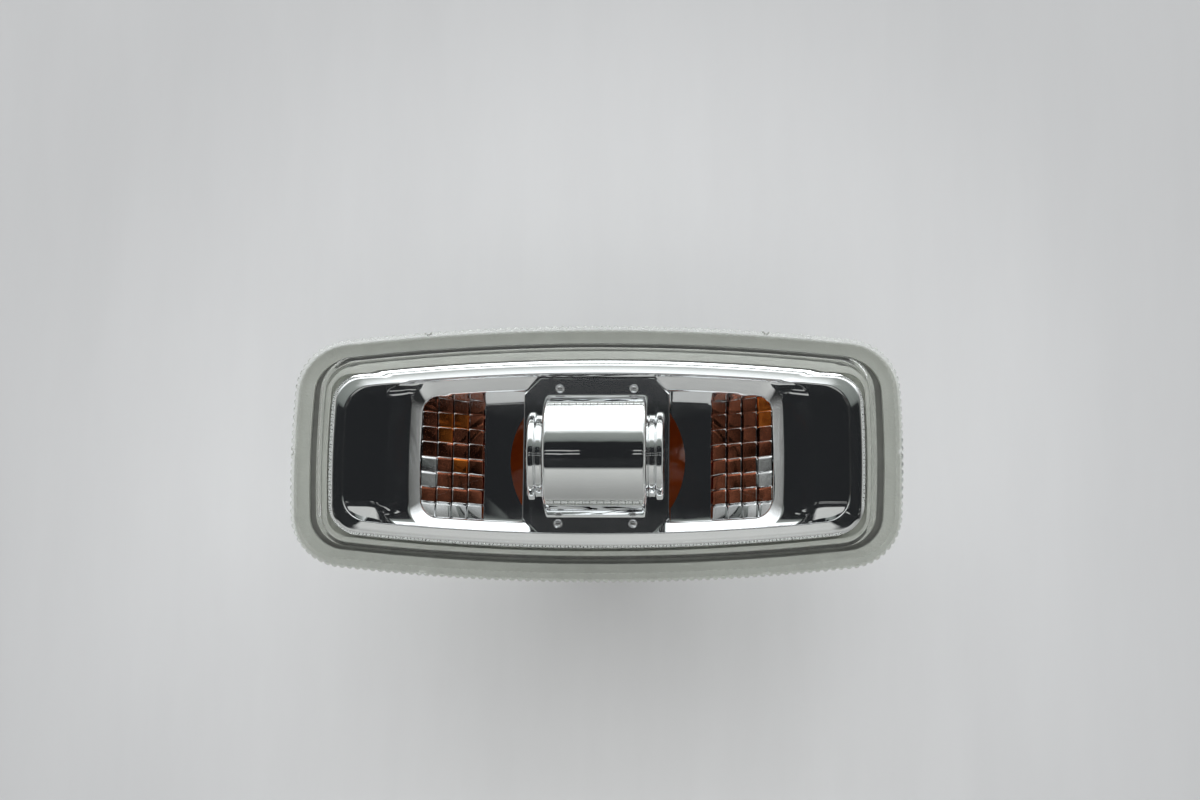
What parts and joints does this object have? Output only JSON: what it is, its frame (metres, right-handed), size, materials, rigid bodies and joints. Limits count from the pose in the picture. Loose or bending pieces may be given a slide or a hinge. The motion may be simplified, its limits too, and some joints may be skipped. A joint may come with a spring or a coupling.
{
  "type": "side marker lamp",
  "caption": "Clip-in side marker lamp with a clear toothed-rim lens, faceted chrome reflector, barrel bulb shield, amber wedge bulb and twist-lock holder.",
  "frame": {"origin": "centre of the panel seat, on the back face of the panel gasket", "axes": "+X along the lamp from the fixed hook to the spring clip, +Y across it, +Z out of the lens, -Z into the car body"},
  "size_m": [0.1, 0.0426, 0.0442],
  "materials": {
    "clear_lens": "polished clear acrylic",
    "sealant": "soft matt bead",
    "bright_mirror": "vacuum metallised plastic",
    "bright_shield": "polished plate",
    "rivet_metal": "bright domed heads",
    "housing_grey": "fine moulded grain",
    "foam_black": "closed-cell foam",
    "spring_steel": "tempered strip",
    "zinc_screw": "zinc plated",
    "vent_foam": "open-cell filter",
    "vent_rubber": "matt moulded rubber",
    "holder_plastic": "glass-filled nylon",
    "seal_rubber": "soft silicone ring",
    "contact_brass": "tinned brass strip",
    "amber_glass": "amber coated glass",
    "filament_wire": "coiled tungsten",
    "lead_wire": "drawn wire",
    "bead_glass": "fused glass"
  },
  "bodies": {
    "root": {"lens": "clear_lens", "lens_seal": "sealant", "reflector": "bright_mirror", "bulb_shield": "bright_shield", "shield_rivets": "rivet_metal", "housing": "housing_grey", "panel_gasket": "foam_black", "spring_clip": "spring_steel", "clip_screw": "zinc_screw", "vent_filter": "vent_foam", "vent_cap": "vent_rubber", "bulb_holder": "holder_plastic", "holder_seal": "seal_rubber", "contact_left": "contact_brass", "contact_right": "contact_brass", "bulb_glass": "amber_glass", "bulb_filament": "filament_wire", "bulb_lead_left": "lead_wire", "bulb_lead_right": "lead_wire", "bulb_bead": "bead_glass"}
  },
  "joints": []
}
